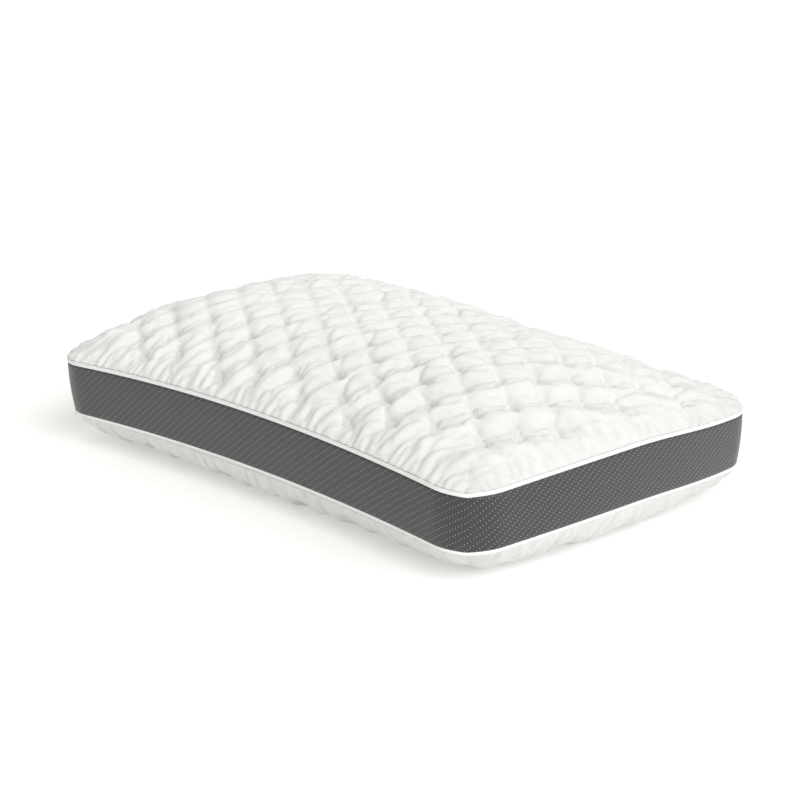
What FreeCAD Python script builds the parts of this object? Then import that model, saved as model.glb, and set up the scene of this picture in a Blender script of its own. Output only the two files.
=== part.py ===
import FreeCAD, Part

import math
import os

import Sketcher

# Gusseted foam bed pillow in a quilted, zipped cover, in millimetres.
# +X runs along the pillow, the zip is on the +Y side, and +Z is up.
# The origin is on the surface that the pillow lies on, under its middle.

DIMENSIONS = {
    # Outline, seen from above
    "pillow_length": 620,       # over the bowed ends
    "pillow_width": 388,        # across the corners
    "end_bow": 17,              # how far each short end swells out between its corners
    "front_waist": 13.5,        # how far the front pulls in between its corners
    "corner_radius": 41,
    # Heights, from the surface up
    "belly_depth": 33.5,        # bottom panel, from its resting face to its binding
    "bottom_binding_height": 2.5,
    "gusset_height": 52,
    "top_binding_height": 4,
    "crown_height": 58,         # top panel, from its binding to its crown
    # How far in from the outline the panels keep curving
    "crown_run": 150,
    "belly_run": 80,
    # Cover layers
    "face_thickness": 1.2,
    "wadding_thickness": 9,
    "backing_thickness": 0.8,
    "face_edge": 0.8,           # the same layers where they are pressed flat at the seam
    "wadding_edge": 1.6,
    "band_thickness": 3.2,
    "liner_thickness": 0.8,
    # Zip, in the back of the gusset
    "zip_gap_length": 464,
    "zip_gap_height": 11,
    "strip_thickness": 2,
    "tape_length": 462,
    "tape_width": 13,
    "tape_thickness": 0.8,
    "tape_slit": 1.2,
    "coil_length": 450,
    "coil_width": 2.6,
    "coil_depth": 2,
    "coil_spine": 1,
    "tooth_pitch": 2.5,
    "tooth_length": 1.3,
    "stop_length": 3,
    "stop_height": 2.2,
    "stop_depth": 0.7,
    "channel_height": 18,
    "channel_depth": 7,
    "topstitch_margin": 2,      # from a strip's folded edge to its line of stitches
    # Slider and pull
    "slider_start": 212,        # the slider's middle with the zip shut
    "slider_length": 12,
    "slider_height": 9,
    "slider_plate": 1.2,
    "slider_clearance": 0.3,
    "slider_neck": 0.6,
    "slider_flange": 1,
    "bridge_width": 2,
    "bridge_length": 6.6,
    "bridge_wall": 0.9,
    "pull_pin_diameter": 1.1,
    "pull_length": 24,
    "pull_width": 6,
    "pull_thickness": 1,
    "pull_eye_length": 4.4,
    # Quilting tacks: the step to the next tack of a dashed line, and to the next line
    "tack_step_x": 29,
    "tack_step_y": -20,
    "line_step_x": 42,
    "line_step_y": 12,
    "tack_length": 14,
    "tack_width": 1.2,
    "tack_depth": 1,
    "tack_margin": 16,          # kept free of tacks inside the outline
    # Sewing thread and label
    "thread": 0.5,
    "label_width": 28,
    "label_height": 30,
    "label_thickness": 0.4,
    "label_place": 150,         # the label's middle, along the back
}

# Where each dome is cut into sections: 0 at its seam, 1 at its flat middle
CROWN_STEPS = (0.0, 0.2, 0.42, 0.68, 1.0)
BELLY_STEPS = (0.0, 0.12, 0.28, 0.55, 1.0)
CROWN_POWER = 2.0
BELLY_POWER = 3.0
TACK_ANGLE = -29            # the tacks' direction, in degrees from +X
TACK_CORNER_LIMIT = 1.75    # a tack's x and y, each as a share of its limit, add up to less than this

doc = FreeCAD.newDocument("bed_pillow")
sheet = doc.addObject("Spreadsheet::Sheet", "Dims")
for row, (alias, value) in enumerate(DIMENSIONS.items(), start=1):
    sheet.set(f"A{row}", alias)
    sheet.set(f"B{row}", str(value))
    sheet.setAlias(f"B{row}", alias)
doc.recompute()

# Heights of the seams, and the zip's middle, as expressions of the sheet
BOTTOM_SEAM = "Dims.belly_depth"
GUSSET_BASE = "(Dims.belly_depth + Dims.bottom_binding_height)"
GUSSET_TOP = f"({GUSSET_BASE} + Dims.gusset_height)"
TOP_SEAM = f"({GUSSET_TOP} + Dims.top_binding_height)"
ZIP_LEVEL = f"({GUSSET_BASE} + Dims.gusset_height / 2)"
BACK = "(Dims.pillow_width / 2)"


def size(expression):
    """The number that an expression of the sheet stands for."""
    value = sheet.evalExpression(expression)
    return float(getattr(value, "Value", value))


def new_body(name):
    return doc.addObject("PartDesign::Body", name)


def plane_of(body, role):
    return next(f for f in body.Origin.OriginFeatures if f.Role == role)


def new_sketch(body, name, level):
    """A level sketch of a body, at a height given as an expression."""
    sketch = body.newObject("Sketcher::SketchObject", name)
    sketch.AttachmentSupport = [(plane_of(body, "XY_Plane"), "")]
    sketch.MapMode = "FlatFace"
    sketch.setExpression("AttachmentOffset.Base.z", level)
    return sketch


def add_outline(sketch, prefix, inset, step=0.0, wall="0"):
    """One closed loop of the pillow's outline, moved in by inset.

    step runs from 0 at the seam to 1 at the middle of a dome, where the corners are
    tighter and the sides straighter. wall is the part of the inset that follows the
    outline exactly, as a layer of cloth does.
    """
    radius = f"(Dims.corner_radius * {1 - 0.2 * step:.3f} - {wall})"
    waist = f"(Dims.front_waist * {1 - 0.6 * step:.3f})"
    bow = f"(Dims.end_bow * {1 - 0.6 * step:.3f})"
    inward = f"({inset} + {wall})"
    centre_x = f"(Dims.pillow_length / 2 - Dims.end_bow - {inward} - {radius})"
    centre_y = f"(Dims.pillow_width / 2 - {inward} - {radius})"
    front_radius = f"(({centre_x}^2 - 2 * {radius} * {waist} + {waist}^2) / (2 * {waist}))"
    end_radius = f"({radius} + ({centre_y}^2 + {bow}^2) / (2 * {bow}))"

    r, cx, cy = size(radius), size(centre_x), size(centre_y)
    rf, re = size(front_radius), size(end_radius)
    front_y = -(cy + r - size(waist)) - rf
    end_x = cx + r + size(bow) - re
    lean = math.atan2(cy, cx - end_x)
    dip = math.atan2(cx, -cy - front_y)
    right, half_pi = 0.0, math.pi / 2

    def arc(x, y, radius_mm, start, end):
        circle = Part.Circle(FreeCAD.Vector(x, y, 0), FreeCAD.Vector(0, 0, 1), radius_mm)
        return Part.ArcOfCircle(circle, start, end)

    first = sketch.addGeometry([
        arc(cx, -cy, r, -half_pi - dip, right - lean),
        arc(end_x, 0, re, -lean, lean),
        arc(cx, cy, r, lean, half_pi),
        Part.LineSegment(FreeCAD.Vector(cx, cy + r, 0), FreeCAD.Vector(-cx, cy + r, 0)),
        arc(-cx, cy, r, half_pi, math.pi - lean),
        arc(-end_x, 0, re, math.pi - lean, math.pi + lean),
        arc(-cx, -cy, r, math.pi + lean, 3 * half_pi + dip),
        arc(0, front_y, rf, half_pi - dip, half_pi + dip),
    ], False)[0]
    front_right, end_right, back_right, back, back_left, end_left, front_left, front = (
        first + i for i in range(8))

    rule = Sketcher.Constraint
    start, end, centre = 1, 2, 3
    origin, x_axis, y_axis = -1, -1, -2
    sketch.addConstraint([
        rule("Tangent", front_right, end, end_right, start),
        rule("Tangent", end_right, end, back_right, start),
        rule("Tangent", back_right, end, back, start),
        rule("Tangent", back, end, back_left, start),
        rule("Tangent", back_left, end, end_left, start),
        rule("Tangent", end_left, end, front_left, start),
        rule("Tangent", front_left, end, front, end),
        rule("Tangent", front, start, front_right, start),
        rule("Equal", front_right, back_right),
        rule("Equal", front_right, back_left),
        rule("Equal", front_right, front_left),
        rule("Equal", end_right, end_left),
        rule("Symmetric", front_right, centre, back_right, centre, x_axis),
        rule("Symmetric", front_left, centre, back_left, centre, x_axis),
        rule("Symmetric", front_right, centre, front_left, centre, y_axis),
    ])
    driven = [
        ("centre_x", rule("DistanceX", origin, start, back_right, centre, cx), centre_x),
        ("centre_y", rule("DistanceY", origin, start, back_right, centre, cy), centre_y),
        ("corner", rule("Radius", front_right, r), radius),
        ("front", rule("Radius", front, rf), front_radius),
        ("end", rule("Radius", end_right, re), end_radius),
    ]
    for label, constraint, expression in driven:
        index = sketch.addConstraint(constraint)
        sketch.renameConstraint(index, f"{prefix}_{label}")
        sketch.setExpression(f"Constraints.{prefix}_{label}", expression)


def add_pad(body, sketch, length):
    pad = body.newObject("PartDesign::Pad", f"{body.Name}_wall")
    pad.Profile = sketch
    pad.setExpression("Length", length)
    return pad


def add_dome(body, name, seam, height, run, steps, power, wall):
    """A crowned cap that starts on the seam's plane; a height with a minus sign hangs down."""
    sections = []
    for number, step in enumerate(steps):
        rise = 1 - (1 - step) ** power
        sketch = new_sketch(body, f"{name}_section_{number}", f"{seam} + {height} * {rise:.4f}")
        add_outline(sketch, "edge", f"{run} * {step}", step, wall)
        sections.append(sketch)
    loft = body.newObject("PartDesign::AdditiveLoft", name)
    loft.Profile = sections[0]
    loft.Sections = sections[1:]
    loft.Ruled = True
    return loft


def crown(body, name, drop, wall):
    """The top dome of the layer that lies drop below the outer face."""
    height = f"(Dims.crown_height - {drop})"
    add_dome(body, name, TOP_SEAM, height, "Dims.crown_run", CROWN_STEPS, CROWN_POWER, wall)


def belly(body, name, drop, wall):
    """The bottom dome of the layer that lies drop inside the outer face."""
    height = f"({drop} - Dims.belly_depth)"
    add_dome(body, name, BOTTOM_SEAM, height, "Dims.belly_run", BELLY_STEPS, BELLY_POWER, wall)


def cut(name, base, tool):
    """What is left of base outside tool, as a sub-part of its own."""
    result = doc.addObject("Part::Cut", name)
    result.Base = base
    result.Tool = tool
    return result


def add_box(name, low, extent):
    """A Part::Box from expressions for its low corner and its sizes."""
    box = doc.addObject("Part::Box", name)
    for side, expression in zip(("Length", "Width", "Height"), extent):
        box.setExpression(side, expression)
    for axis, expression in zip("xyz", low):
        box.setExpression(f"Placement.Base.{axis}", expression)
    return box


def fuse(name, shapes):
    result = doc.addObject("Part::MultiFuse", name)
    result.Shapes = shapes
    return result


def ring(name, outer_inset, inner_inset, level, height):
    """A band that follows the outline, between two insets."""
    body = new_body(name)
    sketch = new_sketch(body, f"{name}_outline", level)
    add_outline(sketch, "outer", outer_inset)
    add_outline(sketch, "inner", "0", wall=inner_inset)
    add_pad(body, sketch, height)
    return body


# How deep each layer's inner face lies below the outer face: at the crown, then at the seam
UNDER_FACE = ("Dims.face_thickness", "Dims.face_edge")
UNDER_WADDING = (
    "(Dims.face_thickness + Dims.wadding_thickness)",
    "(Dims.face_edge + Dims.wadding_edge)",
)
UNDER_BACKING = (
    "(Dims.face_thickness + Dims.wadding_thickness + Dims.backing_thickness)",
    "Dims.band_thickness",
)
UNDER_LINER = (
    f"({UNDER_BACKING[0]} + Dims.liner_thickness)",
    "(Dims.band_thickness + Dims.liner_thickness)",
)


def add_zip_channel(body, extra):
    """A groove along the back that leaves room for the inner half of the slider."""
    sketch = body.newObject("Sketcher::SketchObject", f"{body.Name}_channel_outline")
    sketch.AttachmentSupport = [(plane_of(body, "XZ_Plane"), "")]
    sketch.MapMode = "FlatFace"
    sketch.setExpression("AttachmentOffset.Base.z", f"-{BACK}")
    half_length = f"(Dims.zip_gap_length / 2 + {extra})"
    half_height = f"(Dims.channel_height / 2 + {extra})"
    x, z, dz = size(half_length), size(ZIP_LEVEL), size(half_height)
    corners = [FreeCAD.Vector(*p, 0) for p in ((-x, z - dz), (x, z - dz), (x, z + dz), (-x, z + dz))]
    sides = [Part.LineSegment(corners[i], corners[(i + 1) % 4]) for i in range(4)]
    bottom, right, top, left = sketch.addGeometry(sides, False)
    rule = Sketcher.Constraint
    sketch.addConstraint([
        rule("Coincident", bottom, 2, right, 1),
        rule("Coincident", right, 2, top, 1),
        rule("Coincident", top, 2, left, 1),
        rule("Coincident", left, 2, bottom, 1),
        rule("Horizontal", bottom),
        rule("Horizontal", top),
        rule("Vertical", right),
        rule("Vertical", left),
    ])
    driven = [
        ("right", rule("DistanceX", -1, 1, right, 1, x), half_length),
        ("left", rule("DistanceX", left, 1, -1, 1, x), half_length),
        ("bottom", rule("DistanceY", -1, 1, bottom, 1, z - dz), f"{ZIP_LEVEL} - {half_height}"),
        ("top", rule("DistanceY", -1, 1, top, 1, z + dz), f"{ZIP_LEVEL} + {half_height}"),
    ]
    for label, constraint, expression in driven:
        index = sketch.addConstraint(constraint)
        sketch.renameConstraint(index, label)
        sketch.setExpression(f"Constraints.{label}", expression)
    doc.recompute()
    before = body.Shape.Volume
    pocket = body.newObject("PartDesign::Pocket", f"{body.Name}_channel")
    pocket.Profile = sketch
    pocket.setExpression("Length", f"Dims.channel_depth + {extra}")
    doc.recompute()
    if body.Shape.Volume > before - 1:
        pocket.Reversed = True
        doc.recompute()
    if body.Shape.Volume > before - 1:
        raise RuntimeError(f"the channel in {body.Name} cuts nothing")


def filled_cover(name, layer, channel_extra):
    """The whole inside of a layer: wall, crown and belly in one closed body."""
    drop, wall = layer
    body = new_body(name)
    sketch = new_sketch(body, f"{name}_outline", BOTTOM_SEAM)
    add_outline(sketch, "edge", "0", wall=wall)
    add_pad(body, sketch, f"{TOP_SEAM} - {BOTTOM_SEAM}")
    crown(body, f"{name}_crown", drop, wall)
    belly(body, f"{name}_belly", drop, wall)
    add_zip_channel(body, channel_extra)
    return body


def quilted_panel(side, add_layer_dome, inside):
    """Face, wadding and backing of one panel, each resting on the next."""
    domes = []
    for word, (drop, wall) in (("outer", ("0", "0")), ("padded", UNDER_FACE), ("backed", UNDER_WADDING)):
        body = new_body(f"{side}_{word}_dome")
        add_layer_dome(body, f"{side}_{word}_cap", drop, wall)
        domes.append(body)
    outer, padded, backed = domes
    return [
        cut(f"{side}_panel_face", outer, padded),
        cut(f"{side}_panel_wadding", padded, backed),
        cut(f"{side}_panel_backing", backed, inside),
    ]


def gusset_parts():
    """The grey band round the sides, and the two strips that carry the zip at the back."""
    whole = ring("gusset_ring", "0", "Dims.band_thickness", GUSSET_BASE, "Dims.gusset_height")
    half_gap = "Dims.zip_gap_length / 2"
    opening = add_box(
        "zip_opening",
        (f"-{half_gap}", f"{BACK} - 2 * Dims.band_thickness", GUSSET_BASE),
        ("Dims.zip_gap_length", "3 * Dims.band_thickness", "Dims.gusset_height"),
    )
    band = cut("gusset_band", whole, opening)
    strip_height = "((Dims.gusset_height - Dims.zip_gap_height) / 2)"
    strip_size = ("Dims.zip_gap_length", "Dims.strip_thickness", strip_height)
    strip_y = f"{BACK} - Dims.strip_thickness"
    upper_z = f"{GUSSET_TOP} - {strip_height}"
    lower = add_box("zip_strip_lower", (f"-{half_gap}", strip_y, GUSSET_BASE), strip_size)
    upper = add_box("zip_strip_upper", (f"-{half_gap}", strip_y, upper_z), strip_size)
    return [band, lower, upper]


def zip_tapes():
    """Two cloth tapes behind the strips, with a narrow slit between their edges."""
    low_x = "-Dims.tape_length / 2"
    tape_y = f"{BACK} - Dims.strip_thickness - Dims.tape_thickness"
    upper_z = f"{ZIP_LEVEL} + Dims.tape_slit / 2"
    lower_z = f"{ZIP_LEVEL} - Dims.tape_slit / 2 - Dims.tape_width"
    extent = ("Dims.tape_length", "Dims.tape_thickness", "Dims.tape_width")
    return [
        add_box("zip_tape_upper", (low_x, tape_y, upper_z), extent),
        add_box("zip_tape_lower", (low_x, tape_y, lower_z), extent),
    ]


def zip_coil(name, side):
    """One row of teeth behind a tape's edge: a spine with teeth towards the slit."""
    length, pitch, tooth = size("Dims.coil_length"), size("Dims.tooth_pitch"), size("Dims.tooth_length")
    width, spine, depth = size("Dims.coil_width"), size("Dims.coil_spine"), size("Dims.coil_depth")
    slit = size("Dims.tape_slit / 2")
    back_face = size(f"{BACK} - Dims.strip_thickness - Dims.tape_thickness")
    tip, root, outside = slit, slit + width - spine, slit + width
    outline = [(-length / 2, outside), (-length / 2, root)]
    for number in range(int(length / pitch)):
        start = -length / 2 + (number + 0.5) * pitch - tooth / 2
        outline += [(start, root), (start, tip), (start + tooth, tip), (start + tooth, root)]
    outline += [(length / 2, root), (length / 2, outside), (-length / 2, outside)]
    level = size(ZIP_LEVEL)
    wire = Part.makePolygon([FreeCAD.Vector(x, back_face, level + side * z) for x, z in outline])
    coil = doc.addObject("Part::Feature", name)
    coil.Shape = Part.Face(wire).extrude(FreeCAD.Vector(0, -depth, 0))
    return coil


def zip_stops():
    """Small clamps on the tapes' edges, beyond both ends of the slider's travel."""
    face_y = f"{BACK} - Dims.strip_thickness"
    extent = ("Dims.stop_length", "Dims.stop_depth", "Dims.stop_height")
    end_x = "(Dims.coil_length / 2 - Dims.stop_length)"
    above = f"{ZIP_LEVEL} + Dims.tape_slit / 2"
    below = f"{ZIP_LEVEL} - Dims.tape_slit / 2 - Dims.stop_height"
    closed_end = [
        add_box("closed_end_stop_above", (end_x, face_y, above), extent),
        add_box("closed_end_stop_below", (end_x, face_y, below), extent),
    ]
    whole_height = "2 * Dims.stop_height + Dims.tape_slit"
    open_end = add_box(
        "zip_open_end_stop",
        (f"-{end_x} - Dims.stop_length", face_y, below),
        ("Dims.stop_length", "Dims.stop_depth", whole_height),
    )
    pair = doc.addObject("Part::Compound", "zip_closed_end_stops")
    pair.Links = closed_end
    return [pair, open_end]


# The slider's front plate stands this far in front of the tapes
PLATE_BACK = f"({BACK} - Dims.strip_thickness + Dims.slider_clearance)"
PLATE_FRONT = f"({PLATE_BACK} + Dims.slider_plate)"
PIN_LEVEL = f"({PLATE_FRONT} + Dims.slider_clearance + Dims.pull_pin_diameter / 2)"
SLIDER_LOW_X = "(Dims.slider_start - Dims.slider_length / 2)"


def zip_slider():
    """Front plate, neck through the slit, a box round the coils behind it, and the pull's bridge."""
    coil_back = f"({BACK} - Dims.strip_thickness - Dims.tape_thickness - Dims.coil_depth)"
    rear_front = f"({coil_back} - Dims.slider_clearance)"
    tape_back = f"({BACK} - Dims.strip_thickness - Dims.tape_thickness - Dims.slider_clearance)"
    half_box = "(Dims.tape_slit / 2 + Dims.coil_width + Dims.slider_clearance + Dims.slider_flange)"
    plate = add_box(
        "slider_front_plate",
        (SLIDER_LOW_X, PLATE_BACK, f"{ZIP_LEVEL} - Dims.slider_height / 2"),
        ("Dims.slider_length", "Dims.slider_plate", "Dims.slider_height"),
    )
    rear = add_box(
        "slider_rear_plate",
        (SLIDER_LOW_X, f"{rear_front} - Dims.slider_plate", f"{ZIP_LEVEL} - {half_box}"),
        ("Dims.slider_length", "Dims.slider_plate", f"2 * {half_box}"),
    )
    neck = add_box(
        "slider_neck",
        (SLIDER_LOW_X, rear_front, f"{ZIP_LEVEL} - Dims.slider_neck / 2"),
        ("Dims.slider_length / 3", f"{PLATE_BACK} - {rear_front}", "Dims.slider_neck"),
    )
    flanges = [
        add_box(
            f"slider_flange_{word}",
            (SLIDER_LOW_X, rear_front, level),
            ("Dims.slider_length", f"{tape_back} - {rear_front}", "Dims.slider_flange"),
        )
        for word, level in (
            ("above", f"{ZIP_LEVEL} + {half_box} - Dims.slider_flange"),
            ("below", f"{ZIP_LEVEL} - {half_box}"),
        )
    ]
    opening = "(Dims.pull_pin_diameter + 2 * Dims.slider_clearance)"
    bridge_low_x = "(Dims.slider_start - Dims.bridge_length / 2)"
    bridge_low_z = f"{ZIP_LEVEL} - Dims.bridge_width / 2"
    feet = [
        add_box(
            f"slider_bridge_foot_{word}",
            (low_x, PLATE_FRONT, bridge_low_z),
            ("Dims.bridge_wall", f"{opening} + Dims.bridge_wall", "Dims.bridge_width"),
        )
        for word, low_x in (
            ("left", bridge_low_x),
            ("right", f"{bridge_low_x} + Dims.bridge_length - Dims.bridge_wall"),
        )
    ]
    top = add_box(
        "slider_bridge_top",
        (bridge_low_x, f"{PLATE_FRONT} + {opening}", bridge_low_z),
        ("Dims.bridge_length", "Dims.bridge_wall", "Dims.bridge_width"),
    )
    return fuse("zip_slider", [plate, rear, neck, *flanges, *feet, top])


def zip_pull():
    """A flat tab on a small frame; the frame's pin turns under the slider's bridge."""
    pin = doc.addObject("Part::Cylinder", "pull_pin")
    pin.setExpression("Radius", "Dims.pull_pin_diameter / 2")
    pin.setExpression("Height", "Dims.pull_width")
    pin.setExpression("Placement.Base.x", "Dims.slider_start")
    pin.setExpression("Placement.Base.y", PIN_LEVEL)
    pin.setExpression("Placement.Base.z", f"{ZIP_LEVEL} - Dims.pull_width / 2")
    blank = add_box(
        "pull_blank",
        ("Dims.slider_start - Dims.pull_length", f"{PIN_LEVEL} - Dims.pull_thickness / 2",
         f"{ZIP_LEVEL} - Dims.pull_width / 2"),
        ("Dims.pull_length", "Dims.pull_thickness", "Dims.pull_width"),
    )
    eye_height = "(Dims.bridge_width + 2 * Dims.slider_clearance)"
    eye = add_box(
        "pull_eye",
        ("Dims.slider_start - Dims.pull_eye_length", f"{PIN_LEVEL} - Dims.pull_thickness",
         f"{ZIP_LEVEL} - {eye_height} / 2"),
        ("Dims.pull_eye_length + Dims.pull_pin_diameter", "2 * Dims.pull_thickness", eye_height),
    )
    frame = cut("pull_frame", blank, eye)
    return fuse("zip_pull", [frame, pin])


def tack_places():
    """Plan positions of the quilting tacks: slanting dashed lines, kept clear of the outline."""
    tack_step = FreeCAD.Vector(size("Dims.tack_step_x"), size("Dims.tack_step_y"), 0)
    line_step = FreeCAD.Vector(size("Dims.line_step_x"), size("Dims.line_step_y"), 0)
    half_x = size("Dims.pillow_length / 2 - Dims.end_bow - Dims.tack_margin")
    half_y = size("Dims.pillow_width / 2 - Dims.front_waist - Dims.tack_margin")
    count = math.ceil(half_x / tack_step.x)
    reach = range(-count, count + 1)
    spots = [tack_step * i + line_step * j for i in reach for j in reach]
    return [
        (spot.x, spot.y) for spot in spots
        if abs(spot.x) <= half_x and abs(spot.y) <= half_y
        and abs(spot.x) / half_x + abs(spot.y) / half_y < TACK_CORNER_LIMIT
    ]


def quilting_tacks(name, panel, side):
    """Short bars of thread, each sunk in the panel's face where it is sewn down.

    side is 1 for the top panel and -1 for the bottom one.
    """
    length, width, depth = size("Dims.tack_length"), size("Dims.tack_width"), size("Dims.tack_depth")
    far = 2 * size(TOP_SEAM)
    bars = []
    for x, y in tack_places():
        plumb = Part.makeLine(FreeCAD.Vector(x, y, -far), FreeCAD.Vector(x, y, far))
        crossings = [vertex.Point for vertex in panel.Shape.common(plumb).Vertexes]
        spot = max(crossings, key=lambda point: side * point.z)
        face = min(panel.Shape.Faces, key=lambda f: f.distToShape(Part.Vertex(spot))[0])
        u, v = face.Surface.parameter(spot)
        normal = face.normalAt(u, v)
        low_corner = FreeCAD.Vector(-length / 2, -width / 2, min(0, -side * depth))
        bar = Part.makeBox(length, width, depth, low_corner)
        bar.rotate(FreeCAD.Vector(0, 0, 0), FreeCAD.Vector(0, 0, 1), TACK_ANGLE)
        turn = FreeCAD.Rotation(FreeCAD.Vector(0, 0, side), normal)
        bar.Placement = FreeCAD.Placement(spot, turn).multiply(bar.Placement)
        below_rest = min(bar.BoundBox.ZMin, 0)
        bar.translate(FreeCAD.Vector(0, 0, -below_rest))
        bars.append(bar)
    tacks = doc.addObject("Part::Feature", name)
    tacks.Shape = Part.makeCompound(bars)
    return tacks


def seam_thread(name, level):
    """The line of lockstitch that shows on a binding."""
    body = new_body(name)
    sketch = new_sketch(body, f"{name}_outline", level)
    add_outline(sketch, "outer", "-Dims.thread")
    add_outline(sketch, "inner", "0")
    add_pad(body, sketch, "Dims.thread")
    return body


def zip_topstitching():
    """Two lines of thread that hold the strips' folded edges to the tapes."""
    edge = "(Dims.zip_gap_height / 2 + Dims.topstitch_margin)"
    low_x = "-Dims.tape_length / 2"
    extent = ("Dims.tape_length", "Dims.thread", "Dims.thread")
    lines = [
        add_box("topstitch_above", (low_x, BACK, f"{ZIP_LEVEL} + {edge}"), extent),
        add_box("topstitch_below", (low_x, BACK, f"{ZIP_LEVEL} - {edge}"), extent),
    ]
    pair = doc.addObject("Part::Compound", "zip_topstitching")
    pair.Links = lines
    return pair


def care_label():
    """A blank satin label that hangs from under the bottom seam's stitches, at the back."""
    top = f"({BOTTOM_SEAM} + Dims.thread)"
    return add_box(
        "care_label",
        ("Dims.label_place - Dims.label_width / 2", BACK, f"{top} - Dims.label_height"),
        ("Dims.label_width", "Dims.label_thickness", "Dims.label_height"),
    )


foam_core = filled_cover("foam_core", UNDER_LINER, "Dims.liner_thickness")
sleeve = filled_cover("sleeve_form", UNDER_BACKING, "0")
sub_parts = [foam_core, cut("core_liner", sleeve, foam_core)]
top_panel = quilted_panel("top", crown, sleeve)
bottom_panel = quilted_panel("bottom", belly, sleeve)
sub_parts += top_panel + bottom_panel
sub_parts += gusset_parts()
sub_parts += [
    ring("top_edge_binding", "0", "Dims.band_thickness", GUSSET_TOP, "Dims.top_binding_height"),
    ring("bottom_edge_binding", "0", "Dims.band_thickness", BOTTOM_SEAM, "Dims.bottom_binding_height"),
    seam_thread("top_seam_stitching", f"{TOP_SEAM} - 2 * Dims.thread"),
    seam_thread("bottom_seam_stitching", f"{BOTTOM_SEAM} + Dims.thread"),
]
sub_parts += zip_tapes()
sub_parts += [zip_coil("zip_coil_upper", 1), zip_coil("zip_coil_lower", -1)]
sub_parts += zip_stops()
sub_parts += [zip_slider(), zip_pull(), zip_topstitching(), care_label()]
doc.recompute()
sub_parts += [
    quilting_tacks("top_quilting_tacks", top_panel[0], 1),
    quilting_tacks("bottom_quilting_tacks", bottom_panel[0], -1),
]
doc.recompute()

failed = [o.Name for o in doc.Objects if "Invalid" in o.State or "Error" in o.State]
failed += [p.Name for p in sub_parts if p.Shape.isNull() or not p.Shape.isValid()]
if failed:
    raise RuntimeError(f"these objects did not build: {failed}")

os.makedirs("parts", exist_ok=True)
for part in sub_parts:
    part.Label = part.Name
    part.Shape.exportStep(f"parts/{part.Label}.step")
    box = part.Shape.BoundBox
    print(f"{part.Label}: {part.Shape.Volume:.0f} mm3, solids {len(part.Shape.Solids)}, "
          f"x {box.XMin:.1f}..{box.XMax:.1f}, y {box.YMin:.1f}..{box.YMax:.1f}, "
          f"z {box.ZMin:.1f}..{box.ZMax:.1f}")
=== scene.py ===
import math

import bpy
import numpy as np
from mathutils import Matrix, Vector


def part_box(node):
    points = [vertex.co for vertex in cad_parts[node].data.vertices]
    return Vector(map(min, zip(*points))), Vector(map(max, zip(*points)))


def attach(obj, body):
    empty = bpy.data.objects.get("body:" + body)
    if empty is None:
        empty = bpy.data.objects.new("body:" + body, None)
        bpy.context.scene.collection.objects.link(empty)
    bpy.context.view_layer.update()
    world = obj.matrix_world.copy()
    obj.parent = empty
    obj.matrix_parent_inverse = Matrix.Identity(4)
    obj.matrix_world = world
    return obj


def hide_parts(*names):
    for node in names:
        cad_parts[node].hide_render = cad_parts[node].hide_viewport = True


# A gusseted foam bed pillow: quilted white panels, grey mesh gusset, zip at the back.
# Everything is in metres, in the CAD frame: +X along the pillow, zip on +Y, +Z up.

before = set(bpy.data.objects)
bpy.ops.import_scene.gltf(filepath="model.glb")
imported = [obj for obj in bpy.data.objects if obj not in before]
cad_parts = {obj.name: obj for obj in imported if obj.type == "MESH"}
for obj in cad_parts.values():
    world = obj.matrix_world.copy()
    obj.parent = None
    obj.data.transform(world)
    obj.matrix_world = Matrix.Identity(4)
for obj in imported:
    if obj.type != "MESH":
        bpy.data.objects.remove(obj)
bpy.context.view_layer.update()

MM = 0.001


# ---------------------------------------------------------------- driving sizes

def low(node):
    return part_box(node)[0]


def high(node):
    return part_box(node)[1]


END_BOW = 17 * MM                                   # the short ends swell out
FRONT_WAIST = 13.5 * MM                             # the front pulls in
CORNER_RADIUS = 41 * MM
HALF_LENGTH = high("gusset_band").x - END_BOW       # at the corners
HALF_WIDTH = high("gusset_band").y
BAND_BASE, BAND_TOP = low("gusset_band").z, high("gusset_band").z
BAND_THICKNESS = 3.2 * MM
CROWN_BASE, CROWN_TOP = low("top_panel_face").z, high("top_panel_face").z
BELLY_BASE = high("bottom_panel_face").z
CROWN_LINING, BELLY_LINING = high("top_panel_backing").z, low("bottom_panel_backing").z
ZIP_HALF_LENGTH = high("zip_strip_lower").x
ZIP_LEVEL = (low("zip_slider").z + high("zip_slider").z) / 2
BACK = high("zip_strip_lower").y

# The panels' domes, as they lie: how far in from the outline they keep curving
CROWN_RUN, CROWN_POWER = 154 * MM, 1.93
CROWN_SAG = 3 * MM                                  # the dome lies inside the puffs' tops
CROWN_LIFT, CROWN_SLUMP = 2.5 * MM, 10.5 * MM       # the back slumps to the right
BELLY_RUN, BELLY_POWER = 79 * MM, 4.2
BELLY_TAPER = 0.38                                  # it is shallower at the corners
BELLY_PUFF = 0.6                                    # its puffs are pressed flatter
FOOT_HEIGHT = 2.5 * MM
PANEL_INSET = 2.4 * MM                              # from the outline to a panel's underside

# The seams rise a little along the sides and droop at the corners
TOP_RISE, TOP_DROOP = 3.4 * MM, 9.4 * MM
BOTTOM_RISE, BOTTOM_DROOP = 2.4 * MM, 6.2 * MM
BAND_TAPER = 4 * MM                                 # the bottom seam is the shorter one
BAND_BULGE = 1.2 * MM
ZIP_BLEND = 20 * MM                                 # the gusset flattens over this, at the zip
TOP_BINDING, BOTTOM_BINDING = 3.2 * MM, 2.5 * MM
STITCH_PITCH = 3.2 * MM

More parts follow.
